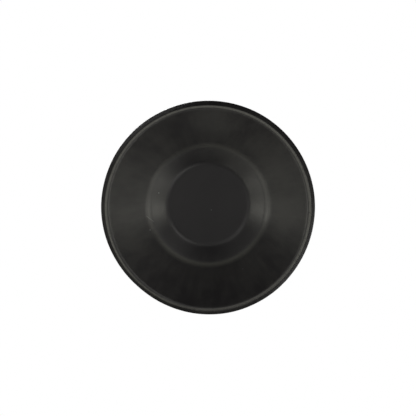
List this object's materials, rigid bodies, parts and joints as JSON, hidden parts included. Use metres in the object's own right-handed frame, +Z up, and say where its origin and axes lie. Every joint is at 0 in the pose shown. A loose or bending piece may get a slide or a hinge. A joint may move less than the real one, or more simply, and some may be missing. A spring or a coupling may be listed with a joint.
{
  "type": "sink plunger",
  "caption": "Sink plunger: a flared black rubber cup with an inner ledge, a shallow recess with a flat closed ceiling and a blind socket, screwed onto a turned wooden handle.",
  "frame": {"origin": "on the axis, in the plane of the lip that rests on the sink", "axes": "+Z up the handle along the axis of the cup; X and Y lie in the plane of the lip"},
  "size_m": [0.127, 0.127, 0.33],
  "materials": {
    "rubber": "satin moulded black rubber, rubbed a little greyer along the lip",
    "wood": "turned beech under a thin satin varnish"
  },
  "bodies": {
    "bell": {"cup_bell": "rubber"},
    "socket": {"cup_socket": "rubber"},
    "handle": {"handle": "wood"}
  },
  "joints": [
    {"name": "plunge", "type": "slide", "parent": "bell", "child": "socket", "axis": [0, 0, -1], "range_m": [-0.004, 0.012], "stiffness_N_per_m": 2500, "springref_m": -0.00055, "deforming": ["cup_bell"]},
    {"name": "handle_unscrew", "type": "hinge", "parent": "socket", "child": "handle", "pos_m": [0, 0, 0.0676], "axis": [0, 0, 1], "range_deg": [0, 1620]}
  ]
}
